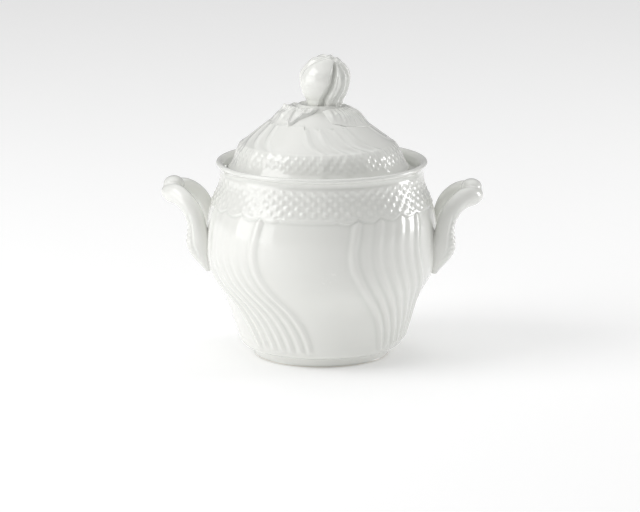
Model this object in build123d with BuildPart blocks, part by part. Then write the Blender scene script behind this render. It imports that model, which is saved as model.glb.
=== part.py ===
from build123d import *
import os
from math import cos, radians, sin

# Covered sugar bowl in glazed porcelain: a footed bowl with two upright loop handles, and a
# lift-off lid with a bud finial lying between two leaves.
# Frame: millimetres, +Z up, origin on the table under the middle of the foot ring. The handles
# lie along X, -X is the left handle, and -Y is the side that carries the finial's lean.
# The low relief of the glaze surface (woven band, flutes, veins) is under half a millimetre deep
# and is left out of these solids.

# ---------------------------------------------------------------- driving dimensions, mm

# foot ring
FOOT_R = 27.25             # outer radius on the table
FOOT_INNER_R = 24.4        # inner radius on the table
FOOT_TOP_R = 28.9          # where the ring meets the body
FOOT_H = 3.7               # height of the ring
RECESS_H = 3.2             # hollow under the base
FLOOR_Z = 6.8              # inside floor of the bowl

# body, outside: radius and height up the wall
CORNER = (33.0, 6.8)       # low shoulder above the foot
BODY_POINTS = [(34.3, 10), (37.0, 18), (40.4, 26), (44.9, 34), (46.7, 43), (46.4, 50),
               (45.5, 58), (43.5, 64), (40.9, 70)]
NECK = (40.4, 75.4)        # waist under the lip

# rim and the ledge that carries the lid
LIP_R = 42.4               # outermost of the rolled lip
LIP_Z = 77.9
LIP_INNER_R = 40.2
BOWL_H = 79.2              # top of the lip
NECK_INNER_R = 38.4
SEAT_Z = 74.0              # top face of the ledge
SEAT_R = 33.3              # mouth inside the ledge
SEAT_THICK = 2.2

# body, inside
INSIDE_POINTS = [(38.6, 67.2), (42.4, 59.5), (43.7, 50), (43.8, 43), (41.8, 34), (37.2, 26),
                 (33.8, 18), (29.6, 11.3), (20.0, 7.7)]

# lid
LID_X = -1.2               # the lid lies against the left of its seat, within its play
LID_EDGE_R = 36.4          # rolled edge
LID_EDGE_H = 3.0
LID_FACE_R = 35.2          # flat that rests on the ledge
FLANGE_R = 31.7            # locating flange
FLANGE_INNER_R = 29.7
FLANGE_DROP = 5.0
LID_TOP_Z = 102.0
LID_POINTS = [(34.0, 79.2), (33.0, 82), (31.7, 85.2), (28.2, 88), (24.3, 91), (20.4, 94),
              (16.6, 97), (12.6, 99.6), (8.6, 101.2)]
LID_INSIDE_POINTS = [(29.0, 82.5), (25.6, 86.6), (19.6, 91.2), (13.0, 95.4), (6.0, 98.2)]
LID_INSIDE_TOP_Z = 99.0

# bud finial
BUD_MIDDLE = (1.1, 0.0, 112.1)
BUD_R = 10.1
BUD_H = 19.6
BUD_LEAN = 16              # degrees from upright
BUD_LEAN_TO = -45          # degrees round from +X, to the front right

# leaves on the lid
LEAF_ROOT_R = 4.0
LEAF_THICK = 1.2
# outline of each leaf: degrees round from the front, and distance from the lid's axis
LEAF_OUTLINES = {
    "leaf_left": [(-124, 11.0), (-112, 17.0), (-95, 20.8), (-68, 19.4), (-37, 19.0), (-20, 14.0),
                  (2, 9.2)],
    "leaf_right": [(8, 9.2), (20, 15.8), (42, 18.2), (70, 19.6), (94, 20.8), (110, 17.0), (124, 10.0)]}

# loop handles
HANDLE_SET_BACK = 4        # degrees from the X axis towards the back
# Stations up one leg of a loop, in the handle's own frame, with x outwards and y to the side:
# centre, rise of the leg in degrees, its turn towards the middle, half width, half thickness.
LEG_STATIONS = [((44.6, 9.2, 36.2), 75, 0, 0.8, 1.2),
                ((46.2, 10.2, 40.0), 72, 0, 2.6, 3.0),
                ((48.2, 11.4, 46.0), 80, 0, 3.9, 5.1),
                ((49.0, 12.0, 52.5), 88, 0, 3.4, 3.9),
                ((50.3, 12.0, 58.5), 70, 0, 3.2, 3.6),
                ((53.6, 10.9, 63.3), 42, 20, 3.2, 3.6),
                ((57.6, 7.6, 65.9), 20, 48, 3.4, 3.6),
                ((60.4, 3.6, 66.4), 5, 75, 3.6, 3.6),
                ((61.0, 0.0, 66.3), 0, 90, 3.1, 3.1)]
TIP_MIDDLE = (60.3, 0.0, 67.5)     # rounded tip that closes a loop
TIP_R = 3.9
TIP_HALF_L = 5.2

BOWL_SECTION = Plane.XZ
LID_SECTION = Plane(origin=(LID_X, 0, 0), x_dir=(1, 0, 0), z_dir=(0, -1, 0))
LID_AXIS = Axis((LID_X, 0, 0), (0, 0, 1))

os.makedirs("parts", exist_ok=True)


# ---------------------------------------------------------------- outlines

def draw_bowl_outside():
    """Foot ring, wall and lip, from the foot's flat up to the inner edge of the lip."""
    Line((FOOT_INNER_R, 0), (FOOT_R - 0.7, 0))
    Line((FOOT_R - 0.7, 0), (FOOT_R, 0.7))
    Line((FOOT_R, 0.7), (FOOT_TOP_R, FOOT_H))
    Line((FOOT_TOP_R, FOOT_H), CORNER)
    Spline(CORNER, *BODY_POINTS, NECK)
    ThreePointArc(NECK, (NECK[0] + 0.7, NECK[1] + 1.6), (LIP_R, LIP_Z))
    ThreePointArc((LIP_R, LIP_Z), (LIP_R - 0.9, BOWL_H), (LIP_INNER_R, BOWL_H - 0.6))


def draw_lid_outside():
    """Rolled edge and dome, from the flat on the ledge up to the crown."""
    edge_top = (LID_FACE_R + 0.2, SEAT_Z + LID_EDGE_H)
    ThreePointArc((LID_FACE_R, SEAT_Z), (LID_EDGE_R, SEAT_Z + LID_EDGE_H / 2), edge_top)
    Spline(edge_top, *LID_POINTS, (0, LID_TOP_Z))


def leg_plane(centre, rise, turn):
    """Plane across a handle leg, its normal along the run of the leg."""
    across = (sin(radians(turn)), cos(radians(turn)), 0)
    run = (cos(radians(rise)) * cos(radians(turn)),
           -cos(radians(rise)) * sin(radians(turn)),
           sin(radians(rise)))
    return Plane(origin=centre, x_dir=across, z_dir=run)


# ---------------------------------------------------------------- bowl

with BuildPart() as bowl_outside:
    with BuildSketch(BOWL_SECTION):
        with BuildLine():
            draw_bowl_outside()
            Line((LIP_INNER_R, BOWL_H - 0.6), (0, BOWL_H - 0.6))
            Line((0, BOWL_H - 0.6), (0, 0))
            Line((0, 0), (FOOT_INNER_R, 0))
        make_face()
    revolve(axis=Axis.Z)

with BuildPart() as bowl:
    with BuildSketch(BOWL_SECTION):
        with BuildLine():
            draw_bowl_outside()
            Line((LIP_INNER_R, BOWL_H - 0.6), (NECK_INNER_R, SEAT_Z + 1.6))
            Line((NECK_INNER_R, SEAT_Z + 1.6), (NECK_INNER_R, SEAT_Z))
            Line((NECK_INNER_R, SEAT_Z), (SEAT_R, SEAT_Z))
            Line((SEAT_R, SEAT_Z), (SEAT_R, SEAT_Z - SEAT_THICK))
            Spline((SEAT_R, SEAT_Z - SEAT_THICK), *INSIDE_POINTS, (0, FLOOR_Z))
            Line((0, FLOOR_Z), (0, RECESS_H))
            Line((0, RECESS_H), (FOOT_INNER_R - 1.0, RECESS_H - 0.6))
            Line((FOOT_INNER_R - 1.0, RECESS_H - 0.6), (FOOT_INNER_R, 0))
        make_face()
    revolve(axis=Axis.Z)

bowl.part.label = "bowl"
export_step(bowl.part, "parts/bowl.step")

# ---------------------------------------------------------------- handles

# Two legs rise from leaf-shaped roots on the belly, curl outwards and meet in a pinched tip.
with BuildPart() as handle_loop:
    for station in LEG_STATIONS:
        centre, rise, turn, half_width, half_thick = station
        with BuildSketch(leg_plane(centre, rise, turn)):
            Ellipse(half_width, half_thick)
    loft()
    mirror(about=Plane.XZ)
    with BuildSketch(Plane.XY.offset(TIP_MIDDLE[2])):
        with Locations((TIP_MIDDLE[0], 0)):
            Ellipse(TIP_R, TIP_HALF_L)
            Rectangle(TIP_R, 2 * TIP_HALF_L, align=(Align.MAX, Align.CENTER), mode=Mode.SUBTRACT)
    revolve(axis=Axis(TIP_MIDDLE, (0, 1, 0)))

for name, angle in (("handle_right", HANDLE_SET_BACK), ("handle_left", 180 - HANDLE_SET_BACK)):
    with BuildPart() as handle:
        add(handle_loop.part, rotation=(0, 0, angle))
        add(bowl_outside.part, mode=Mode.SUBTRACT)
    handle.part.label = name
    export_step(handle.part, f"parts/{name}.step")

# ---------------------------------------------------------------- lid

with BuildPart() as lid_outside:
    with BuildSketch(LID_SECTION):
        with BuildLine():
            draw_lid_outside()
            Line((0, LID_TOP_Z), (0, SEAT_Z))
            Line((0, SEAT_Z), (LID_FACE_R, SEAT_Z))
        make_face()
    revolve(axis=LID_AXIS)

with BuildPart() as lid:
    with BuildSketch(LID_SECTION):
        with BuildLine():
            draw_lid_outside()
            Line((0, LID_TOP_Z), (0, LID_INSIDE_TOP_Z))
            Spline((0, LID_INSIDE_TOP_Z), *reversed(LID_INSIDE_POINTS), (FLANGE_INNER_R, SEAT_Z))
            Line((FLANGE_INNER_R, SEAT_Z), (FLANGE_INNER_R, SEAT_Z - FLANGE_DROP))
            Line((FLANGE_INNER_R, SEAT_Z - FLANGE_DROP), (FLANGE_R - 0.8, SEAT_Z - FLANGE_DROP))
            Line((FLANGE_R - 0.8, SEAT_Z - FLANGE_DROP), (FLANGE_R, SEAT_Z - FLANGE_DROP + 0.8))
            Line((FLANGE_R, SEAT_Z - FLANGE_DROP + 0.8), (FLANGE_R, SEAT_Z))
            Line((FLANGE_R, SEAT_Z), (LID_FACE_R, SEAT_Z))
        make_face()
    revolve(axis=LID_AXIS)

lid.part.label = "lid"
export_step(lid.part, "parts/lid.step")

# ---------------------------------------------------------------- bud finial

bud_lean_to = radians(BUD_LEAN_TO)
bud_axis = Vector(sin(radians(BUD_LEAN)) * cos(bud_lean_to),
                  sin(radians(BUD_LEAN)) * sin(bud_lean_to),
                  cos(radians(BUD_LEAN)))
bud_side = Vector(-sin(bud_lean_to), cos(bud_lean_to), 0)
bud_section = Plane(origin=BUD_MIDDLE, x_dir=bud_side, z_dir=bud_side.cross(bud_axis))
bud_points = [(0, -0.6 * BUD_H), (0.7 * BUD_R, -0.47 * BUD_H), (BUD_R, -0.06 * BUD_H),
              (0.84 * BUD_R, 0.29 * BUD_H), (0.36 * BUD_R, 0.49 * BUD_H), (0, 0.53 * BUD_H)]

with BuildPart() as finial_bud:
    with BuildSketch(bud_section):
        with BuildLine():
            Spline(*bud_points)
            Line(bud_points[-1], bud_points[0])
        make_face()
    revolve(axis=Axis(BUD_MIDDLE, bud_axis))
    add(lid_outside.part, mode=Mode.SUBTRACT)

finial_bud.part.label = "finial_bud"
export_step(finial_bud.part, "parts/finial_bud.step")

# ---------------------------------------------------------------- leaves

# Each leaf follows the dome: a pointed oval cut from a skin over the lid.
with BuildPart() as leaf_skin:
    with BuildSketch(LID_SECTION):
        with BuildLine():
            Spline((33.4 + LEAF_THICK, 82), (29.2 + LEAF_THICK, 88), (25.1 + LEAF_THICK, 91),
                   (21.3 + LEAF_THICK, 94), (17.5 + LEAF_THICK, 97), (13.5 + LEAF_THICK, 99.8),
                   (9.2 + LEAF_THICK, 101.8), (0, LID_TOP_Z + LEAF_THICK))
            Line((0, LID_TOP_Z + LEAF_THICK), (0, 82))
            Line((0, 82), (33.4 + LEAF_THICK, 82))
        make_face()
    revolve(axis=LID_AXIS)

for name, outline in LEAF_OUTLINES.items():
    points = [(reach * sin(radians(angle)), -reach * cos(radians(angle))) for angle, reach in outline]
    with BuildPart() as leaf:
        with BuildSketch(Plane(origin=(LID_X, 0, 84))):
            with BuildLine():
                root_start = tuple(LEAF_ROOT_R / outline[0][1] * v for v in points[0])
                root_end = tuple(LEAF_ROOT_R / outline[-1][1] * v for v in points[-1])
                middle_angle = radians((outline[0][0] + outline[-1][0]) / 2)
                root_middle = (LEAF_ROOT_R * sin(middle_angle), -LEAF_ROOT_R * cos(middle_angle))
                Spline(*points)
                Line(points[-1], root_end)
                ThreePointArc(root_end, root_middle, root_start)
                Line(root_start, points[0])
            make_face()
        extrude(amount=LID_TOP_Z - 78)
        add(leaf_skin.part, mode=Mode.INTERSECT)
        add(lid_outside.part, mode=Mode.SUBTRACT)
        add(finial_bud.part, mode=Mode.SUBTRACT)
    leaf.part.label = name
    export_step(leaf.part, f"parts/{name}.step")
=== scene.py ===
import math

import bpy
import numpy as np
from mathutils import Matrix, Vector


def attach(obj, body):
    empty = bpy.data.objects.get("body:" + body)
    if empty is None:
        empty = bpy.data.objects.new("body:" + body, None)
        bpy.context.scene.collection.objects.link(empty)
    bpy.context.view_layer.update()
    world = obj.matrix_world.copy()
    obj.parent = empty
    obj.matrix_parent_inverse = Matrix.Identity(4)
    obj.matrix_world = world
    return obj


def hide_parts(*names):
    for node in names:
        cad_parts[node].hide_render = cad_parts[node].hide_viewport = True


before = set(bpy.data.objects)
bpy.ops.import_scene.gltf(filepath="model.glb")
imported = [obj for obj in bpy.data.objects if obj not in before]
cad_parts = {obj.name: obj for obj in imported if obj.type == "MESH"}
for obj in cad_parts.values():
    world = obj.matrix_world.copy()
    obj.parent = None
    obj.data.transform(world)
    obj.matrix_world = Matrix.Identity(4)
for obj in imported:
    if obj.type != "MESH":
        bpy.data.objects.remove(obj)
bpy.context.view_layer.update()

# A covered sugar bowl in white glazed porcelain. Every piece is a mesh worked out from formulas:
# a turned profile or a swept leg, with the moulded relief pushed out along the surface.
# Shapes are worked out in millimetres and degrees and turned into metres by make_piece.
# Round the pot, an angle of 0 faces the front, -Y, and 90 faces the right handle, +X.

MM = 0.001

# ---------------------------------------------------------------- sizes, mm and degrees

QUARTER = 90.0             # a plain panel and a flute group together, so the pattern repeats 4 times

# bowl profile, from the middle of its underside round to the middle of its inside: radius, height
FOOT_R = 27.25
RECESS_Z = 3.2
UNDERSIDE_POINTS = [(0.02, RECESS_Z), (12.0, RECESS_Z - 0.05), (22.6, RECESS_Z - 0.4),
                    (23.7, RECESS_Z - 1.0), (24.2, 0.5), (24.6, 0.06), (25.5, 0.0), (26.5, 0.0),
                    (27.0, 0.15), (FOOT_R, 0.6)]
FOOT_POINTS = [(FOOT_R, 0.6), (27.8, 1.8), (28.6, 3.2), (28.95, 3.75)]
SHOULDER_POINTS = [(29.5, 3.9), (31.0, 4.4), (32.5, 5.4), (33.4, 7.0), (34.4, 10)]
SHOULDER_TOP_Z = 10.4      # where the curve over the foot gives way to the body's
BODY_POINTS = [(33.0, 6.8), (34.3, 10), (37.0, 18), (40.4, 26), (44.9, 34), (46.7, 43), (46.4, 50),
               (45.5, 58), (43.5, 64), (40.9, 70), (40.4, 75.4)]
FINE_ROWS_Z = 60.5         # from here up the body's rows lie twice as close, for the weave
LIP_POINTS = [(40.4, 75.4), (41.1, 77.0), (42.2, 77.7), (42.4, 78.5), (41.6, 79.2), (40.4, 78.9),
              (39.2, 77.4), (38.4, 75.4)]
NECK_INNER_R = 38.4
SEAT_R = 33.3              # the opening inside the ledge that the lid rests on
SEAT_Z = 74.0
SEAT_POINTS = [(NECK_INNER_R, 74.4), (38.0, SEAT_Z), (35.6, SEAT_Z), (33.7, SEAT_Z),
               (SEAT_R, SEAT_Z - 0.4), (SEAT_R, SEAT_Z - 1.8)]
INSIDE_POINTS = [(SEAT_R, 71.8), (38.6, 67.2), (42.4, 59.5), (43.7, 50), (43.8, 43), (41.8, 34),
                 (37.2, 26), (33.8, 18), (29.6, 11.3), (20.0, 7.7), (8.0, 6.9), (0.02, 6.8)]
BOWL_COLUMNS = 580         # points round the bowl

# bowl relief
BOWL_TURN = -4.0           # the pattern's middle panel, from the front
PANEL_HALF = 25.4          # half the angle of a plain panel, at the border
FLUTES = 6                 # flutes in a group, so one ridge more
BORDER_Z = 63.2            # cusps of the scalloped border
GROUP_LOBES = 3            # lobes of the border above a flute group
LOBE_DROP = 1.5            # how far a lobe hangs below its cusps
FLAT_DROP = 0.9            # how far the border hangs below the cusps along a panel
PANEL_SCALLOP = 11.0       # angle of the lobe at each end of a panel
WEAVE_TOP_Z = 74.4
WEAVE_COLUMNS = 120        # half strands round the pot
WEAVE_ROW = 1.95           # height of a row of strands
WEAVE_PAD_FROM = 0.42      # a pad begins at this share of the weave's full height
WEAVE_RELIEF = 0.29
BAND_STEP = 0.25           # the woven band stands this far proud
CORD_RELIEF = 0.32         # height and half width of the thin cord along the border
CORD_HALF_WIDTH = 0.75
RIDGE_RELIEF = 0.34
RIDGE_HALF_WIDTH = 2.6
OUTER_RIDGE = 1.3          # the first and last ridge of a group are this many times as high
FLUTE_DEPTH = 0.3
GROUP_STEP = 0.2           # a flute group stands this far over the plain panels
WALL_R = 42.0              # usual radius of the fluted wall, for turning angles into widths
# soft patches of the moulding, left of the front: middle, reach, and the share of relief lost
WEAVE_SOFT = (-55, 34, 0.5)
FLUTES_SOFT = (-50, 38, 0.7)
# sideways sweep of the ridges against height
BOWL_SWEEP = [(4, 25.8), (14, 22), (24, 14.5), (33, 5), (42, -1.5), (50, -3.2), (57, -1.8), (63.5, 0)]

# lid profile: radius and height
LID_X = -1.2               # the lid sits this far left of the bowl's axis
LID_POINTS = [(35.3, 77.6), (34.2, 79.2), (33.0, 82), (31.7, 85.2), (28.2, 88), (24.3, 91),
              (20.4, 94), (16.6, 97), (12.6, 99.6), (10.2, 100.5), (9.0, 101.1), (8.3, 101.9), (7.6, 102.1),
              (6.9, 101.8), (6.0, 101.5), (0.02, 101.5)]
LID_EDGE_POINTS = [(33.4, 74.0), (35.2, 74.0), (36.2, 74.6), (36.5, 75.8), (36.2, 77.0), (35.3, 77.6)]
FLANGE_POINTS = [(29.7, 74), (29.7, 69.0), (30.9, 69.0), (31.7, 69.8), (31.7, 74.0), (33.4, 74.0)]
LID_INSIDE_POINTS = [(0.02, 99.0), (6.0, 98.2), (13.0, 95.4), (19.6, 91.2), (25.6, 86.6),
                     (29.0, 82.5), (29.9, 78), (29.7, 74)]
CROWN_Z = 100.5            # the moulding ends here, below the collar under the bud
LID_LEAN = 0.6             # the dome's slope sits this much further left than its edge and crown
LID_COLUMNS = 640          # points round the lid

# lid relief
LID_TURN = -14.5
LID_PANEL_HALF = 21.2
LID_FLUTES = 3
LID_BAND_LOW_Z = 79.6
LID_BAND_TOP_Z = 86.4
LID_LINE_Z = 95.3          # scalloped line round the crown
LID_RIDGE_RELIEF = 0.25
LID_RIDGE_HALF_WIDTH = 2.4
LID_FLUTE_DEPTH = 0.2
LID_STEP = 0.2             # the dome up to the scalloped line stands this far proud
LID_SET_BACK = 0.25        # and all of it over the woven band lies this far back
LID_WEAVE_RELIEF = 0.19
LID_WEAVE_SOFT = (-42, 46, 0.1)      # its soft patch: middle, reach, and the relief lost
BAND_LINE_RELIEF = 0.15    # height and half width of the fine line over the woven band
BAND_LINE_HALF_WIDTH = 0.6
DOME_R = 28.0              # usual radius of the fluted dome, for turning angles into widths
# sideways sweep of the ridges against height
LID_SWEEP = [(79, 0), (84, 0.5), (86.2, 2), (87.3, -2), (88.1, -6), (89.5, -10.3), (92.1, -14.2),
             (94, -16.8), (95.5, -20)]

# glaze pooling, and shade painted into the relief's recesses
POOL_AND_SHADE_REACH = 3             # mesh points on each side that the relief is compared with
POOL_AND_SHADE_DEPTH = 0.22          # relief this far below its surroundings takes the full pool colour: glaze pooling and painted shade
LEDGE_PAINTED_SHADE = 0.8           # painted shade: the ledge under the lid is darkened by this share of the pool colour, for the gap inside the rim

# finial
BUD_AT = (1.4, 0.0, 112.1)
BUD_R = 10.2

# ---------------------------------------------------------------- curves


def smooth_curve(points, step):
    """Points along a smooth curve through the given points, about step apart."""
    p = np.array(points, float)
    run = np.concatenate([[0], np.cumsum(np.linalg.norm(np.diff(p, axis=0), axis=1))])
    count = max(2, int(round(run[-1] / step)) + 1)
    return smooth_through(run, p, np.linspace(0, run[-1], count))


def smooth_through(x, y, at):
    """Natural cubic spline through (x, y), read at the values in at."""
    x = np.array(x, float)
    y = np.array(y, float)
    at = np.asarray(at, float)
    flat = y.ndim == 1
    y = y.reshape(len(x), -1)
    h = np.diff(x)
    n = len(x)
    a = np.eye(n)
    b = np.zeros_like(y)
    for i in range(1, n - 1):
        a[i, i - 1:i + 2] = (h[i - 1], 2 * (h[i - 1] + h[i]), h[i])
        b[i] = 6 * ((y[i + 1] - y[i]) / h[i] - (y[i] - y[i - 1]) / h[i - 1])
    m = np.linalg.solve(a, b)
    i = np.clip(np.searchsorted(x, at, side="right") - 1, 0, n - 2)
    t = (at - x[i])[..., None]
    k = h[i][..., None]
    left = m[i] * (k - t) ** 3 / (6 * k) + m[i + 1] * t ** 3 / (6 * k)
    value = left + (y[i] / k - m[i] * k / 6) * (k - t) + (y[i + 1] / k - m[i + 1] * k / 6) * t
    return value[..., 0] if flat else value


def ramp(x, low, high):
    """0 below low, 1 above high, and smooth between."""
    t = np.clip((x - low) / (high - low), 0, 1)
    return t * t * (3 - 2 * t)


def bump(x, width):
    """A rounded ridge of height 1 at x = 0, gone at a distance of width."""
    t = np.clip(np.abs(x) / width, 0, 1)
    return 0.5 + 0.5 * np.cos(np.pi * t)


# ---------------------------------------------------------------- mesh building


def make_piece(name, verts, faces, body, *nodes, pool_and_shade=None):
    """A smooth mesh piece from points in millimetres, riding on a body and standing for its nodes."""
    mesh = bpy.data.meshes.new(name)
    mesh.from_pydata((np.asarray(verts) * MM).tolist(), [], faces)
    mesh.validate()
    mesh.update()
    # the pool-and-shade mask: glaze pooling and painted shade in recesses, kept on the points for the glaze
    # to read
    if pool_and_shade is not None:
        layer = mesh.attributes.new("glaze_pool_and_shade", "FLOAT", "POINT")
        layer.data.foreach_set("value", np.clip(pool_and_shade, 0, 1).astype(np.float32).ravel())
    mesh.polygons.foreach_set("use_smooth", [True] * len(mesh.polygons))
    piece = bpy.data.objects.new(name, mesh)
    bpy.context.scene.collection.objects.link(piece)
    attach(piece, body)
    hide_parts(*nodes)
    return piece


def ring_faces(rows, columns):
    """Quads between rows of points that each close on themselves."""
    r = np.arange(rows - 1)[:, None] * columns
    c = np.arange(columns)[None, :]
    n = (c + 1) % columns
    return np.stack([r + c, r + n, r + columns + n, r + columns + c], -1).reshape(-1, 4).tolist()


def turned(profile, columns, centre_x, push):
    """Points of a turned shape. push(angle, profile row) moves them along the profile's normal."""
    p = np.array(profile)
    tangent = np.gradient(p, axis=0)
    normal = np.stack([tangent[:, 1], -tangent[:, 0]], 1)
    normal /= np.linalg.norm(normal, axis=1)[:, None]
    angle = np.linspace(0, 360, columns, endpoint=False)[None, :]
    d = push(angle, p[:, 1][:, None])
    r = p[:, 0][:, None] + d * normal[:, 0][:, None]
    z = p[:, 1][:, None] + d * normal[:, 1][:, None]
    a = np.radians(angle)
    points = np.stack([centre_x + r * np.sin(a), -r * np.cos(a), z + 0 * a], -1)
    return points.reshape(-1, 3)


def pool_and_shade_in(relief):
    """Where glaze pools and shade is painted in: how far the relief lies under its own average nearby, 0 to
    1.
    """
    blurred = relief
    steps = range(-POOL_AND_SHADE_REACH, POOL_AND_SHADE_REACH + 1)
    for axis in (0, 1):
        blurred = sum(np.roll(blurred, k, axis) for k in steps) / len(steps)
    return np.clip((blurred - relief) / POOL_AND_SHADE_DEPTH, 0, 1)


# ---------------------------------------------------------------- relief shared by bowl and lid


def fold(angle, turn):
    """Angle from the middle of the nearest plain panel."""
    return (angle - turn + QUARTER / 2) % QUARTER - QUARTER / 2


def from_group(angle, turn, panel_half):
    """Place across a flute group: 0 at its first ridge, 1 at its last, outside that on a panel."""
    around = (angle - turn) % QUARTER
    return (around - panel_half) / (QUARTER - 2 * panel_half)


def gap_from(angle, middle):
    """Signed angle from a direction, between -180 and 180 degrees."""
    return (angle - middle + 180) % 360 - 180


def softening(angle, patch):
    """How much relief is lost at an angle to a soft patch."""
    middle, reach, lost = patch
    return lost * bump(gap_from(angle, middle), reach)


def dips(g, place):
    """Depth across a flute group's flutes, 0 on each ridge and 1 half way between two."""
    return np.where((g > 0) & (g < 1), np.sin(np.pi * (place % 1)) ** 2, 0)


def weave(angle, z, low_z):
    """Basket weave: pads that go over and under by turns, 0 to 1."""
    across = angle / 360 * WEAVE_COLUMNS
    up = (z - low_z) / WEAVE_ROW
    checks = 0.5 + 0.5 * np.cos(np.pi * across) * np.cos(np.pi * up)
    return ramp(checks, WEAVE_PAD_FROM, 1.0)


# ---------------------------------------------------------------- bowl


def border_height(angle):
    """Height of the scalloped lower edge of the woven band."""
    off = np.abs(fold(angle, BOWL_TURN))
    flat = PANEL_HALF - PANEL_SCALLOP
    end_lobe = np.sin(np.pi * np.clip((off - flat) / PANEL_SCALLOP, 0, 1))
    lobe = (QUARTER - 2 * PANEL_HALF) / GROUP_LOBES
    group_lobe = np.abs(np.sin(np.pi * (off - PANEL_HALF) / lobe))
    over_group = LOBE_DROP * group_lobe
    over_panel = np.where(off < flat, FLAT_DROP, FLAT_DROP * 0.6 + end_lobe)
    return BORDER_Z - np.where(off < PANEL_HALF, over_panel, over_group)


def bowl_flutes(angle, z, above):
    """Relief of the swept flute groups, which end where above, the height over the border, is 0."""
    swept = angle - smooth_through(*zip(*BOWL_SWEEP), np.clip(z, 4, 63))
    g = from_group(swept, BOWL_TURN, PANEL_HALF)
    place = g * FLUTES
    nearest = np.clip(np.round(place), 0, FLUTES)
    width = np.radians((QUARTER - 2 * PANEL_HALF) / FLUTES) * WALL_R
    low_down = 1 - ramp(z, 26, 48)
    quiet = 1 - softening(angle, FLUTES_SOFT) * ramp(z, 36, 50)
    outer = (nearest == 0) | (nearest == FLUTES)
    inner = np.where(nearest % 2 == 1, 0.2 + 0.45 * low_down, 0.45 + 0.3 * low_down)
    strength = np.where(outer, OUTER_RIDGE, inner * quiet)
    ridge = bump((place - nearest) * width, RIDGE_HALF_WIDTH) * strength * RIDGE_RELIEF
    trough = dips(g, place) * FLUTE_DEPTH * quiet * (0.35 + 0.45 * low_down)
    raised = GROUP_STEP * ramp(g * (1 - g) * FLUTES, -0.45, 0.25)
    below = (1 - ramp(above, -0.9, -0.1)) * ramp(z, 6.2, 8.5)
    return (ridge - trough + raised) * below


def bowl_push(angle, z):
    """How far the moulded relief stands out of the bowl's wall."""
    above = z - border_height(angle)
    in_band = ramp(above, -0.1, 0.5) * (1 - ramp(z, WEAVE_TOP_Z, WEAVE_TOP_Z + 0.7))
    pads = weave(angle - BOWL_TURN, z, BORDER_Z) * ramp(above, 0.8, 1.8)
    pads *= 1 - ramp(z, WEAVE_TOP_Z - 0.8, WEAVE_TOP_Z + 0.2)
    faint = 1 - softening(angle, WEAVE_SOFT)
    band = in_band * BAND_STEP + pads * WEAVE_RELIEF * faint
    cord = bump(above - 0.35, CORD_HALF_WIDTH) * CORD_RELIEF
    return band + cord * ramp(z, 40, 50) + bowl_flutes(angle, z, above)


def make_bowl():
    """The bowl, one closed skin from its footring over the lip and down to its floor."""
    foot = smooth_curve(FOOT_POINTS, 0.6)
    shoulder = smooth_curve(SHOULDER_POINTS, 0.6)
    wall = smooth_curve(BODY_POINTS, 0.5)
    wall = wall[wall[:, 1] > SHOULDER_TOP_Z]
    lower = wall[wall[:, 1] < FINE_ROWS_Z][::2]
    upper = wall[wall[:, 1] >= FINE_ROWS_Z]
    lip = smooth_curve(LIP_POINTS, 0.5)
    inside = smooth_curve(INSIDE_POINTS, 4.0)
    profile = np.concatenate([UNDERSIDE_POINTS, foot, shoulder, lower, upper[:-1], lip,
                              SEAT_POINTS, inside])
    plain_rows = len(UNDERSIDE_POINTS) + len(foot)
    outside_rows = plain_rows + len(shoulder) + len(lower) + len(upper)

    def push(angle, z):
        d = bowl_push(angle, z) * np.ones_like(angle)
        d[:plain_rows] = 0
        d[outside_rows:] = 0
        return d

    verts = turned(profile, BOWL_COLUMNS, 0, push)
    angle = np.linspace(0, 360, BOWL_COLUMNS, endpoint=False)[None, :]
    pool_and_shade = pool_and_shade_in(push(angle, profile[:, 1][:, None]))
    r, z = profile[:, 0], profile[:, 1]
    # painted shade: the ledge under the lid takes the pool colour, standing in for the shade inside the rim
    ledge = (r < NECK_INNER_R + 1.4) & (r > 35.5) & (z > 73) & (z < 77.5)
    pool_and_shade[ledge] = LEDGE_PAINTED_SHADE
    return make_piece("bowl_glazed", verts, ring_faces(len(profile), BOWL_COLUMNS), "bowl_body",
                      "bowl", pool_and_shade=pool_and_shade)


# ---------------------------------------------------------------- lid


def lid_push(angle, z):
    """How far the moulded relief stands out of the lid's dome."""
    off = fold(angle, LID_TURN)
    swept = angle - smooth_through(*zip(*LID_SWEEP), np.clip(z, 79, 95.5))
    g = from_group(swept, LID_TURN, LID_PANEL_HALF)
    place = g * LID_FLUTES
    nearest = np.clip(np.round(place), 0, LID_FLUTES)
    width = np.radians((QUARTER - 2 * LID_PANEL_HALF) / LID_FLUTES) * DOME_R
    group_arch = np.abs(np.sin(np.pi * place)) * 0.9 - 0.6
    panel_arch = 0.8 * np.cos(np.radians(off) * 2) - 0.2
    line = LID_LINE_Z + np.where((g > 0) & (g < 1), group_arch, panel_arch)
    below_line = 1 - ramp(z, line - 0.45, line + 0.1)
    ridge = bump((place - nearest) * width, LID_RIDGE_HALF_WIDTH) * LID_RIDGE_RELIEF
    trough = dips(g, place) * LID_FLUTE_DEPTH * ramp(z, 85.5, 88)
    flutes = (ridge - trough) * below_line * ramp(z, 77.6, 79.2)
    relief = LID_WEAVE_RELIEF - softening(angle, LID_WEAVE_SOFT)
    pads = weave(angle - LID_TURN, z, LID_BAND_LOW_Z) * relief
    pads *= ramp(z, LID_BAND_LOW_Z - 0.2, LID_BAND_LOW_Z + 0.6)
    pads *= 1 - ramp(z, LID_BAND_TOP_Z - 0.5, LID_BAND_TOP_Z + 0.3)
    band_line = bump(z - LID_BAND_TOP_Z, BAND_LINE_HALF_WIDTH) * BAND_LINE_RELIEF
    return flutes + below_line * LID_STEP + pads + band_line - LID_SET_BACK * ramp(z, 80, 86)


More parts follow.
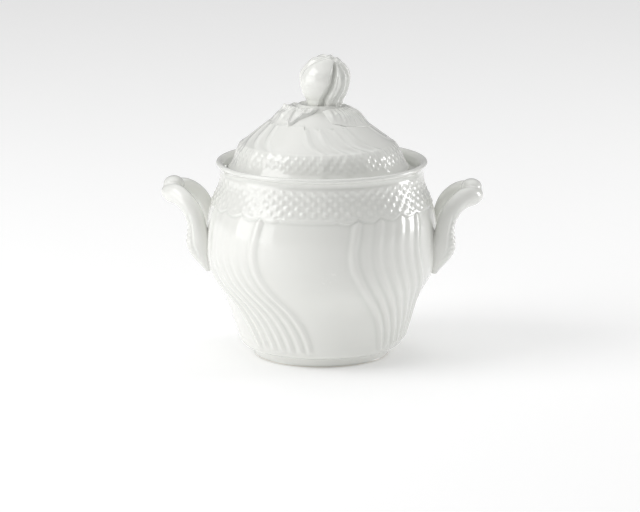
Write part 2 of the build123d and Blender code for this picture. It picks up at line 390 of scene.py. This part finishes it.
def make_lid():
    """The lid, one closed skin from the middle of its inside round its edge and up to its crown."""
    edge = smooth_curve(LID_EDGE_POINTS, 0.6)
    dome = smooth_curve(LID_POINTS, 0.45)
    inside = smooth_curve(LID_INSIDE_POINTS, 3.0)
    profile = np.concatenate([inside[:-1], FLANGE_POINTS[:-1], edge[:-1], dome])
    plain_rows = len(profile) - len(dome)

    def push(angle, z):
        d = lid_push(angle, z) * np.ones_like(angle)
        d[:plain_rows] = 0
        d[z[:, 0] > CROWN_Z] = 0
        return d

    verts = turned(profile, LID_COLUMNS, LID_X, push)
    verts[:, 0] -= LID_LEAN * ramp(verts[:, 2], 79, 88) * (1 - ramp(verts[:, 2], 98, 101.5))
    angle = np.linspace(0, 360, LID_COLUMNS, endpoint=False)[None, :]
    pool_and_shade = pool_and_shade_in(push(angle, profile[:, 1][:, None]))
    return make_piece("lid_glazed", verts, ring_faces(len(profile), LID_COLUMNS), "lid_body", "lid",
                      pool_and_shade=pool_and_shade)


# ---------------------------------------------------------------- handles

HANDLE_SET_BACK = 4.0      # each handle is turned this far to the back from the bowl's side
HANDLE_SINK = 1.6          # how far a handle's roots reach below the wall's plain surface
# one leg of the right handle, from the root up to the tip: middle (out, side, height),
# rise and turn of its run in degrees, half width across, half thickness
LEG = [((44.9, 9.6, 35.6), 78, 0, 1.5, 1.8), ((46.0, 10.3, 39.8), 72, 0, 3.1, 3.7),
       ((48.0, 11.4, 45.8), 80, 0, 4.0, 5.4), ((48.8, 12.0, 52.0), 89, 0, 3.5, 4.1),
       ((50.3, 11.8, 58.0), 68, 5, 3.3, 3.8), ((53.2, 10.6, 62.3), 38, 25, 3.3, 3.8),
       ((57.0, 7.6, 64.7), 14, 44, 3.6, 4.1), ((60.2, 4.6, 65.0), 0, 52, 3.7, 3.9),
       ((62.3, 2.0, 64.9), -5, 60, 2.9, 3.1)]
LEG_RINGS = 90
LEG_AROUND = 40
LEG_ENDS = (1.6, 1.8)      # how far the leg's rounded ends reach past its first and last ring
TIP_MIDDLE = (60.2, 0.0, 67.5)
TIP_HALF = (4.3, 5.4, 3.7)
HANDLE_VOXEL = 0.34
HANDLE_SMOOTHING = 4       # passes that even out the welded skin
GROOVE_AT = 58             # angle of the groove, from straight outward, round each leg
GROOVE_DEPTH = 0.5
RIPPLE_DEPTH = 0.3


def wall_radius(z):
    """Radius of the bowl's plain outer wall at a height."""
    heights = [p[1] for p in BODY_POINTS]
    radii = [p[0] for p in BODY_POINTS]
    return smooth_through(heights, radii, np.clip(z, heights[0], heights[-1]))


def leg_points(rings, around):
    """One leg as rings of points, their middles and the way it runs there: (out, side, height)."""
    knots = np.arange(len(LEG), dtype=float)
    rows = np.array([(*middle, rise, side, half_width, half_thick)
                     for middle, rise, side, half_width, half_thick in LEG])
    path = smooth_through(knots, rows, np.linspace(0, knots[-1], rings))
    rise, side = np.radians(path[:, 3]), np.radians(path[:, 4])
    across = np.stack([np.sin(side), np.cos(side), 0 * side], 1)
    run = np.stack([np.cos(rise) * np.cos(side), -np.cos(rise) * np.sin(side), np.sin(rise)], 1)
    out = np.cross(run, across)
    a = np.linspace(0, 2 * np.pi, around, endpoint=False)
    ring = path[:, None, :3] + across[:, None] * (path[:, 5, None] * np.cos(a))[..., None]
    ring = ring + out[:, None] * (path[:, 6, None] * np.sin(a))[..., None]
    return ring, path[:, :3], run


def closed_tube(ring, path, run, ends):
    """Points and faces of a tube closed by a rounded end at each side."""
    first = path[0] - run[0] * ends[0]
    last = path[-1] + run[-1] * ends[1]
    near = path[0] - run[0] * ends[0] * 0.7 + (ring[0] - path[0]) * 0.7
    far = path[-1] + run[-1] * ends[1] * 0.7 + (ring[-1] - path[-1]) * 0.7
    rows = np.concatenate([near[None], ring, far[None]])
    count, around = rows.shape[:2]
    verts = np.concatenate([rows.reshape(-1, 3), [first, last]])
    faces = ring_faces(count, around)
    top = (count - 1) * around
    for k in range(around):
        n = (k + 1) % around
        faces.append([k, count * around, n])
        faces.append([top + k, top + n, count * around + 1])
    return verts, faces


def ellipsoid(middle, half, rows=24, columns=36):
    """Points and faces of an ellipsoid."""
    polar = np.linspace(0, np.pi, rows)[1:-1, None]
    turn = np.linspace(0, 2 * np.pi, columns, endpoint=False)[None, :]
    ball = np.stack([np.sin(polar) * np.cos(turn), np.sin(polar) * np.sin(turn),
                     np.cos(polar) + 0 * turn], -1)
    verts = np.concatenate([ball.reshape(-1, 3), [[0, 0, 1], [0, 0, -1]]])
    verts = verts * np.array(half) + np.array(middle)
    faces = ring_faces(rows - 2, columns)
    low = (rows - 3) * columns
    for k in range(columns):
        n = (k + 1) % columns
        faces.append([k, (rows - 2) * columns, n])
        faces.append([low + k, low + n, (rows - 2) * columns + 1])
    return verts, faces


def weld(parts, voxel, passes):
    """Join closed shapes into one skin by remeshing them, and return its points and faces."""
    verts, faces = [], []
    count = 0
    for part_verts, part_faces in parts:
        verts.append(part_verts)
        faces += [[i + count for i in f] for f in part_faces]
        count += len(part_verts)
    mesh = bpy.data.meshes.new("rough")
    mesh.from_pydata(np.concatenate(verts).tolist(), [], faces)
    mesh.update()
    rough = bpy.data.objects.new("rough", mesh)
    bpy.context.scene.collection.objects.link(rough)
    remesh = rough.modifiers.new("weld", "REMESH")
    remesh.mode = "VOXEL"
    remesh.voxel_size = voxel
    smooth = rough.modifiers.new("smooth", "SMOOTH")
    smooth.factor = 0.5
    smooth.iterations = passes
    done = rough.evaluated_get(bpy.context.evaluated_depsgraph_get()).to_mesh()
    points = np.empty(len(done.vertices) * 3)
    done.vertices.foreach_get("co", points)
    quads = [list(p.vertices) for p in done.polygons]
    rough.to_mesh_clear()
    bpy.data.objects.remove(rough)
    bpy.data.meshes.remove(mesh)
    return points.reshape(-1, 3), quads


def leaf_edge(verts):
    """Press a groove and small ripples into the outer edge of each leg, like a leaf's rim."""
    out, beside, z = verts[:, 0], np.abs(verts[:, 1]), verts[:, 2]
    lower = LEG[:5]
    heights = [middle[2] for middle, *_ in lower]
    middle_out = np.interp(z, heights, [middle[0] for middle, *_ in lower])
    middle_beside = np.interp(z, heights, [middle[1] for middle, *_ in lower])
    gap_out, gap_beside = out - middle_out, beside - middle_beside
    reach = np.maximum(np.hypot(gap_out, gap_beside), 0.1)
    swing = np.degrees(np.arctan2(gap_beside, gap_out))
    groove = bump(np.abs(swing) - GROOVE_AT, 17) * GROOVE_DEPTH
    waves = 0.5 + 0.5 * np.sin(z * 2.9 + swing * 0.03)
    ripple = waves * (1 - ramp(np.abs(swing), 38, 56)) * RIPPLE_DEPTH
    press = (groove + ripple) * ramp(z, 40, 44) * (1 - ramp(z, 56, 60))
    side = np.sign(verts[:, 1])
    pressed = verts.copy()
    pressed[:, 0] -= press * gap_out / reach
    pressed[:, 1] -= press * gap_beside / reach * side
    return pressed


def make_handle(side):
    """A handle of two legs that meet in a round tip. side is 1 for the right one, -1 for the left."""
    ring, path, run = leg_points(LEG_RINGS, LEG_AROUND)
    leg, faces = closed_tube(ring, path, run, LEG_ENDS)
    twin = leg * np.array([1, -1, 1])
    twin_faces = [f[::-1] for f in faces]
    tip = ellipsoid(TIP_MIDDLE, TIP_HALF)
    verts, quads = weld([(leg, faces), (twin, twin_faces), tip], HANDLE_VOXEL, HANDLE_SMOOTHING)
    verts = leaf_edge(verts)
    deepest = wall_radius(verts[:, 2]) - HANDLE_SINK
    reach = np.hypot(verts[:, 0], verts[:, 1])
    verts[:, :2] *= np.maximum(1, deepest / reach)[:, None]
    turn = math.radians(HANDLE_SET_BACK if side > 0 else 180 - HANDLE_SET_BACK)
    x = verts[:, 0] * math.cos(turn) - verts[:, 1] * math.sin(turn)
    y = verts[:, 0] * math.sin(turn) + verts[:, 1] * math.cos(turn)
    verts = np.stack([x, y, verts[:, 2]], 1)
    name = "handle_right" if side > 0 else "handle_left"
    return make_piece(name + "_glazed", verts, quads, "bowl_body", name)


# ---------------------------------------------------------------- finial bud

BUD_TIP = np.array((0.363, -0.306, 0.880))       # direction of the bud's closed tip
BUD_ROOT = np.array((-0.03, 0.05, -0.998))       # and of the middle of its underside
BUD_END = 147              # angle from straight up to the lower end of the petals
# rings below the petals, into the lid: share of the last petal ring's radius, and its drop
BUD_BASE = [(1.03, 0.5), (0.98, 2.0), (0.003, 2.0)]
# furrows between the petals: angle round the bud, depth, width of the slope on each side
FURROWS = [(15, 2.3, 4.3, 1.3), (46, 0.95, 3.0, 1.3), (74, 0.8, 2.6, 1.3), (104, 0.8, 2.8, 1.4),
           (136, 0.9, 3.4, 1.4), (172, 1.0, 3.6, 1.4), (208, 0.9, 3.2, 1.4),
           (238, 0.7, 2.6, 1.3), (258, 0.7, 2.0, 1.4), (277, 0.8, 1.6, 2.2)]


def bud_radius(d):
    """Distance of the bud's skin from its middle, for unit directions d, and how deep the point lies in a
    groove between petals or the tip hollow, which sets the painted shade there.
    """
    chord = BUD_TIP - BUD_ROOT
    axis = chord / np.linalg.norm(chord)
    front = np.array((0.0, -1.0, 0.0))
    front = front - axis * front.dot(axis)
    front /= np.linalg.norm(front)
    right = np.cross(axis, front)
    off = d - BUD_TIP
    out_front, out_right = off @ front, off @ right
    round_it = np.degrees(np.arctan2(out_right, out_front))
    rho = np.hypot(out_front, out_right) * BUD_R
    down = np.clip((off @ -axis) / np.linalg.norm(chord), 0, 1)
    low_left = ramp(-d[..., 0] - 0.6 * d[..., 2], 0.5, 1.1)
    below = -d[..., 2]
    swell = 0.075 * ramp(below, 0.3, 0.75) + 0.15 * ramp(below, 0.7, 0.87) + 0.03 * low_left
    skin = BUD_R * (1 + swell - 0.05 * ramp(d[..., 2], 0.15, 0.7))
    round_it = round_it + 22 * ramp(down, 0.4, 1.0) - 8 * (1 - ramp(down, 0.0, 0.35))
    cut = np.zeros_like(rho)
    for angle, depth, left_slope, right_slope in FURROWS:
        across = np.radians(gap_from(round_it, angle)) * rho
        slope = np.where(across < 0, left_slope, right_slope)
        slope = np.minimum(slope, 0.25 * rho + 0.3)
        v = np.clip(1 - np.abs(across) / slope, 0, 1)
        cut += depth * v * ramp(rho, 0.3, 4.0) * (1 - 0.5 * ramp(down, 0.86, 1.0))
    tip_gap = np.linalg.norm(off, axis=-1) * BUD_R
    hollow = 0.9 * (1 - ramp(tip_gap, 0.2, 2.0)) - 0.25 * bump(tip_gap - 2.4, 1.6)
    return skin - cut - hollow, cut + 0.5 * hollow


def make_bud():
    """The closed bud, from its uppermost point down its petals to a base inside the lid's collar."""
    rows, columns = 150, 260
    polar = np.linspace(0.004, np.radians(BUD_END), rows)[:, None]
    turn = np.linspace(0, 2 * np.pi, columns, endpoint=False)[None, :]
    d = np.stack([np.sin(polar) * np.sin(turn), -np.sin(polar) * np.cos(turn),
                  np.cos(polar) + 0 * turn], -1)
    skin, furrow_shade = bud_radius(d)
    petals = d * skin[..., None] + np.array(BUD_AT)
    last = petals[-1]
    middle = last.mean(0)
    base = []
    for share, drop in BUD_BASE:
        ring = middle + (last - middle) * share
        ring[:, 2] = middle[2] - drop
        base.append(ring)
    verts = np.concatenate([petals, base])
    # painted shade: the bud's grooves and tip hollow take the pool colour
    pool_and_shade = np.concatenate([furrow_shade, [furrow_shade[-1]] * len(base)]) * 0.4
    faces = [f[::-1] for f in ring_faces(len(verts), columns)]
    return make_piece("finial_bud_glazed", verts.reshape(-1, 3), faces, "lid_body", "finial_bud",
                      pool_and_shade=pool_and_shade)


# ---------------------------------------------------------------- leaves


def dome_radius_to_height(r):
    """Height of the lid's plain dome at a distance from its axis."""
    p = smooth_curve(LID_POINTS, 0.5)[::-1]
    return np.interp(r, p[:, 0], p[:, 1])


LEAF_START = 8.5           # a leaf's root, just outside the collar under the bud
# outline of each leaf: angle round the lid and distance from its axis
LEFT_OUTLINE = [(-124, 11.0), (-116, 15.5), (-104, 19.4), (-93, 20.8), (-80, 19.6), (-66, 19.4),
                (-52, 18.4), (-43, 18.6), (-35, 19.0), (-28, 16.4), (-20, 14.4), (-12, 12.9),
                (-4, 10.8), (4, 9.2)]
RIGHT_OUTLINE = [(8, 9.2), (14, 12.4), (21, 16.2), (30, 17.4), (42, 18.6), (56, 19.2), (70, 20.0),
                 (84, 20.8), (96, 20.8), (108, 17.6), (118, 12.5), (124, 10.0)]
# ridges on each leaf: angle at the root, angle at the edge, height, half width
LEFT_RIBS = [(-52, -36, 0.85, 1.3), (-68, -60, 0.3, 1.7), (-92, -93, 0.35, 2.2),
             (-28, -22, 0.55, 1.2), (-14, -8, 0.35, 1.1), (-108, -112, 0.4, 1.6)]
RIGHT_RIBS = [(22, 27, 0.3, 1.3), (34, 36, 0.3, 1.0), (44, 42, 0.6, 1.0), (54, 51, 0.4, 0.8),
              (62, 59, 0.65, 1.0), (72, 69, 0.4, 0.8), (82, 80, 0.6, 1.0), (96, 97, 0.5, 1.0),
              (110, 112, 0.4, 0.9)]
# small rounded lumps on each leaf: angle, distance from the axis, height, radius
LEFT_LUMPS = [(-62, 15.5, 0.5, 2.2), (-84, 17.0, 0.5, 2.6), (-90, 12.8, 1.5, 1.9), (-66, 11.8, 0.8, 1.5),
              (-38, 11.2, 0.5, 1.3), (-106, 15.0, 0.7, 1.8)]
RIGHT_LUMPS = [(41, 17.2, 0.7, 1.3), (51, 18.3, 0.55, 1.1), (60, 17.0, 0.6, 1.3), (70, 19.0, 0.5, 1.3),
               (34, 13.5, 0.5, 1.4), (78, 14.5, 0.5, 1.5), (92, 18.5, 0.5, 1.5)]
LEAF_ROLL = (10.6, 0.35, 1.2)        # roll along each leaf's root: distance, height, half width
LEAF_SINK = 0.6            # a leaf's underside lies this far inside the dome
LEAF_EDGE_SINK = 0.18      # and its thin edge this far


def make_leaf(name, outline, ribs, lumps, thick, curl, crisp):
    """A moulded leaf lying on the lid's dome, from beside the collar out to its wavy edge.

    thick is the height of its body, curl the lift of its edge, and crisp goes from 0 for an edge
    that fades into the dome to 1 for one that stands clear of it.
    """
    along, across = 80, 300
    s = np.linspace(0, 1, along)[:, None]
    angles, reach = zip(*outline)
    angle = np.linspace(angles[0], angles[-1], across)[None, :]
    edge = smooth_through(angles, reach, angle[0])[None, :]
    r = LEAF_START + (edge - LEAF_START) * s
    relief = np.zeros_like(r)
    for root, tip, height, width in ribs:
        middle = root + (tip - root) * s
        off = np.radians(angle - middle) * r
        relief = relief + height * bump(off, width) * ramp(s, 0.15, 0.5)
    for at, distance, height, size in lumps:
        gap = np.hypot(np.radians(angle - at) * r, (r - distance) * 1.2)
        relief = relief + height * bump(gap, size)
    roll_at, roll_height, roll_width = LEAF_ROLL
    relief = relief + roll_height * bump(r - roll_at, roll_width)
    curled = curl * ramp(s, 0.72, 0.95) * (0.6 + 0.4 * np.sin(np.radians(angle * 11)))
    soft = 18 - 9 * crisp
    sides = ramp(angle, angles[0], angles[0] + soft) * (1 - ramp(angle, angles[-1] - soft, angles[-1]))
    body = thick * ramp(s, -0.06, 0.22) * (0.35 * crisp + (1 - 0.35 * crisp) * sides)
    fade = 0.45 - 0.38 * crisp * ramp(angle, -62, -42) * np.ones_like(s)
    rim = ramp(1 - s, -0.02, fade) ** (1.1 - 0.4 * crisp)
    height = (body + relief * ramp(s, -0.02, 0.12) + curled) * rim
    top = height - LEAF_EDGE_SINK
    a = np.radians(angle)
    base_z = dome_radius_to_height(r)
    slope = np.gradient(base_z, axis=0) / np.gradient(r, axis=0)
    lean = 1 / np.sqrt(1 + slope ** 2)
    out_r = r - slope * lean * top
    out_z = base_z + lean * top

    def place(rr, zz):
        return np.stack([LID_X + rr * np.sin(a), -rr * np.cos(a), zz], -1)

    upper = place(out_r, out_z)
    lower = place(r, base_z - LEAF_SINK)
    verts = np.concatenate([upper.reshape(-1, 3), lower.reshape(-1, 3)])
    faces = []
    half = along * across
    for i in range(along - 1):
        for j in range(across - 1):
            q = i * across + j
            faces.append([q, q + across, q + across + 1, q + 1])
            faces.append([half + q, half + q + 1, half + q + across + 1, half + q + across])
    border = list(range(across))
    border += [i * across + across - 1 for i in range(1, along)]
    border += [(along - 1) * across + j for j in range(across - 2, -1, -1)]
    border += [i * across for i in range(along - 2, 0, -1)]
    for k, here in enumerate(border):
        there = border[(k + 1) % len(border)]
        faces.append([here, there, half + there, half + here])
    return make_piece(name + "_glazed", verts, faces, "lid_body", name)


# ---------------------------------------------------------------- shader maths


class Value:
    """A shader socket that can be used in ordinary arithmetic."""

    def __init__(self, bench, socket):
        self.bench = bench
        self.socket = socket

    def joined(self, operation, other, flipped=False):
        """The value of a Math node that takes this value and another."""
        pair = (other, self) if flipped else (self, other)
        return self.bench.node("ShaderNodeMath", {"operation": operation}, {0: pair[0], 1: pair[1]})

    def __add__(self, other):
        return self.joined("ADD", other)

    __radd__ = __add__

    def __mul__(self, other):
        return self.joined("MULTIPLY", other)

    __rmul__ = __mul__

    def __sub__(self, other):
        return self.joined("SUBTRACT", other)

    def __rsub__(self, other):
        return self.joined("SUBTRACT", other, flipped=True)


class Bench:
    """Builds the nodes of one material."""

    def __init__(self, name):
        self.material = bpy.data.materials.new(name)
        self.material.use_nodes = True
        self.tree = self.material.node_tree
        self.shader = self.tree.nodes["Principled BSDF"]

    def node(self, kind, settings=None, sockets=None, output=0):
        """A new node with its settings and sockets filled in, as the value of one of its outputs."""
        made = self.tree.nodes.new(kind)
        for key, value in (settings or {}).items():
            setattr(made, key, value)
        for key, value in (sockets or {}).items():
            self.feed(made.inputs[key], value)
        return Value(self, made.outputs[output])

    def feed(self, socket, value):
        """Link a value to a socket, or set the socket to a plain number or colour."""
        if isinstance(value, Value):
            self.tree.links.new(value.socket, socket)
        else:
            socket.default_value = value

    def noise(self, where, scale, detail):
        """Cloudy noise, 0 to 1."""
        return self.node("ShaderNodeTexNoise", {}, {"Vector": where, "Scale": scale, "Detail": detail})

    def blend(self, factor, first, second):
        """A colour between two others."""
        settings = {"data_type": "RGBA"}
        return self.node("ShaderNodeMix", settings, {0: factor, 6: first, 7: second}, 2)

    def ramp(self, value, low, high):
        """0 below low, 1 above high."""
        return self.node("ShaderNodeMapRange", {"interpolation_type": "SMOOTHSTEP"},
                         {"Value": value, "From Min": low, "From Max": high})


# ---------------------------------------------------------------- glaze

GLAZE_WHITE = (0.85, 0.853, 0.818, 1)
GLAZE_CLOUD = (0.82, 0.826, 0.79, 1)
# painted shade and glaze pooling: the grey laid into the relief's recesses, the bud's grooves and the ledge
# under the lid
GLAZE_POOL_AND_SHADE = (0.70, 0.715, 0.675, 1)
BISCUIT_DARK = (0.70, 0.66, 0.58, 1)
BISCUIT_LIGHT = (0.82, 0.79, 0.72, 1)
GLAZE_ROUGHNESS = 0.2
BARE_RIM = (0.0002, 0.0006)      # metres: unglazed below the first height, glazed over the second


def glazed_porcelain(name, foot_is_bare=False):
    """White glaze, greyer where it pools and where shade is painted into recesses, with an unglazed rim
    under the foot where asked for.
    """
    b = Bench(name)
    here = b.node("ShaderNodeTexCoord", output=3)
    cloud = b.noise(here, 38.0, 3.0)
    fine = b.noise(here, 900.0, 2.0)
    wavy = b.noise(here, 210.0, 2.0)
    pool_and_shade = b.node("ShaderNodeAttribute", {"attribute_name": "glaze_pool_and_shade"}, output=2)
    colour = b.blend(cloud, GLAZE_WHITE, GLAZE_CLOUD)
    # painted shade and glaze pooling: recesses go grey by the pool-and-shade mask
    colour = b.blend(pool_and_shade * 0.8, colour, GLAZE_POOL_AND_SHADE)
    rough = cloud * 0.08 + fine * 0.03 + GLAZE_ROUGHNESS
    bump_up = b.node("ShaderNodeBump", {}, {"Strength": 0.06, "Distance": 0.0004, "Height": wavy})
    coat = 1.0
    if foot_is_bare:
        height = b.node("ShaderNodeSeparateXYZ", {}, {0: here}, 2)
        bare = 1 - b.ramp(height, *BARE_RIM)
        biscuit = b.blend(b.noise(here, 1800.0, 4.0), BISCUIT_DARK, BISCUIT_LIGHT)
        colour = b.blend(bare, colour, biscuit)
        rough = rough + bare * 0.5
        coat = 1 - bare
    shader = b.shader.inputs
    b.feed(shader["Base Color"], colour)
    b.feed(shader["Roughness"], rough)
    b.feed(shader["Normal"], bump_up)
    b.feed(shader["Coat Weight"], coat)
    shader["Coat Roughness"].default_value = 0.03
    shader["Coat IOR"].default_value = 1.5
    shader["IOR"].default_value = 1.45
    return b.material


# ---------------------------------------------------------------- the pieces

bowl = make_bowl()
lid = make_lid()
handle_right = make_handle(1)
handle_left = make_handle(-1)
bud = make_bud()
leaf_left = make_leaf("leaf_left", LEFT_OUTLINE, LEFT_RIBS, LEFT_LUMPS,
                      thick=1.05, curl=0.4, crisp=0.85)
leaf_right = make_leaf("leaf_right", RIGHT_OUTLINE, RIGHT_RIBS, RIGHT_LUMPS,
                       thick=0.8, curl=0.2, crisp=0.0)

glaze = glazed_porcelain("porcelain_glaze")
glaze_bowl = glazed_porcelain("porcelain_glaze_bare_foot", foot_is_bare=True)
bowl.data.materials.append(glaze_bowl)
for piece in (lid, handle_left, handle_right, bud, leaf_left, leaf_right):
    piece.data.materials.append(glaze)

# ---------------------------------------------------------------- studio, in metres

FLOOR_HALF = 4.0
FLOOR_GLOW = 0.155
WORLD_STRENGTH = 0.33
LIGHTS_AIM = Vector((0, 0, 0.06))
# name, azimuth from the front, elevation, distance, width, height, watts
LIGHTS = [("left_window", -67, 8, 0.9, 0.7, 0.42, 1.9), ("left_high", -70, 40, 1.0, 0.6, 0.5, 2.9),
          ("right_window", 108, 8, 1.0, 0.3, 0.5, 2.8), ("overhead", 0, 90, 1.5, 2.4, 2.4, 6.5),
          ("front_top", -20, 66, 1.3, 0.9, 0.7, 0.7), ("back_high", 180, 68, 3.0, 3.0, 3.0, 16.0)]

floor_mesh = bpy.data.meshes.new("floor")
floor_mesh.from_pydata([(-FLOOR_HALF, -FLOOR_HALF, 0), (FLOOR_HALF, -FLOOR_HALF, 0),
                        (FLOOR_HALF, FLOOR_HALF, 0), (-FLOOR_HALF, FLOOR_HALF, 0)], [], [(0, 1, 2, 3)])
floor = bpy.data.objects.new("floor", floor_mesh)
bpy.context.scene.collection.objects.link(floor)
floor_paper = bpy.data.materials.new("floor_paper")
floor_paper.use_nodes = True
paper = floor_paper.node_tree.nodes["Principled BSDF"].inputs
paper["Base Color"].default_value = (0.95, 0.95, 0.95, 1)
paper["Roughness"].default_value = 0.9
paper["Emission Color"].default_value = (1, 1, 1, 1)
paper["Emission Strength"].default_value = FLOOR_GLOW
floor_mesh.materials.append(floor_paper)


def softbox(name, azimuth, elevation, distance, width, height, power, aim):
    """A rectangular soft light, placed by its direction from the object."""
    light = bpy.data.lights.new(name, "AREA")
    light.shape = "RECTANGLE"
    light.size = width
    light.size_y = height
    light.energy = power
    lamp = bpy.data.objects.new(name, light)
    a, e = math.radians(azimuth), math.radians(elevation)
    away = Vector((math.cos(e) * math.sin(a), -math.cos(e) * math.cos(a), math.sin(e)))
    lamp.location = aim + away * distance
    lamp.rotation_euler = away.to_track_quat("Z", "Y").to_euler()
    bpy.context.scene.collection.objects.link(lamp)


for name, azimuth, elevation, distance, width, height, watts in LIGHTS:
    softbox(name, azimuth, elevation, distance, width, height, watts, LIGHTS_AIM)

world = bpy.data.worlds.new("studio")
bpy.context.scene.world = world
world.use_nodes = True
background = world.node_tree.nodes["Background"].inputs
background["Color"].default_value = (1, 1, 1, 1)
background["Strength"].default_value = WORLD_STRENGTH

# ---------------------------------------------------------------- camera

CAMERA_TURN = 3.0          # degrees, and the pitch too
CAMERA_PITCH = 12.6
CAMERA_DISTANCE = 1.3      # metres
CAMERA_LENS = 181.2        # mm, and the sensor too
CAMERA_SENSOR = 36
AIM_SIDE = -0.0007         # metres right of the axis of the bowl, of the point looked at
AIM_HEIGHT = 0.0395        # and metres over the floor

turn, pitch = math.radians(CAMERA_TURN), math.radians(CAMERA_PITCH)
aim = Vector((AIM_SIDE * math.cos(turn), AIM_SIDE * math.sin(turn), AIM_HEIGHT))
bpy.context.scene.view_settings.view_transform = "Standard"
camera_data = bpy.data.cameras.new("camera")
camera_data.lens = CAMERA_LENS
camera_data.sensor_width = CAMERA_SENSOR
camera = bpy.data.objects.new("camera", camera_data)
camera.location = aim + CAMERA_DISTANCE * Vector((math.cos(pitch) * math.sin(turn),
                                                  -math.cos(pitch) * math.cos(turn),
                                                  math.sin(pitch)))
camera.rotation_euler = (math.pi / 2 - pitch, 0, turn)
bpy.context.scene.collection.objects.link(camera)
bpy.context.scene.camera = camera
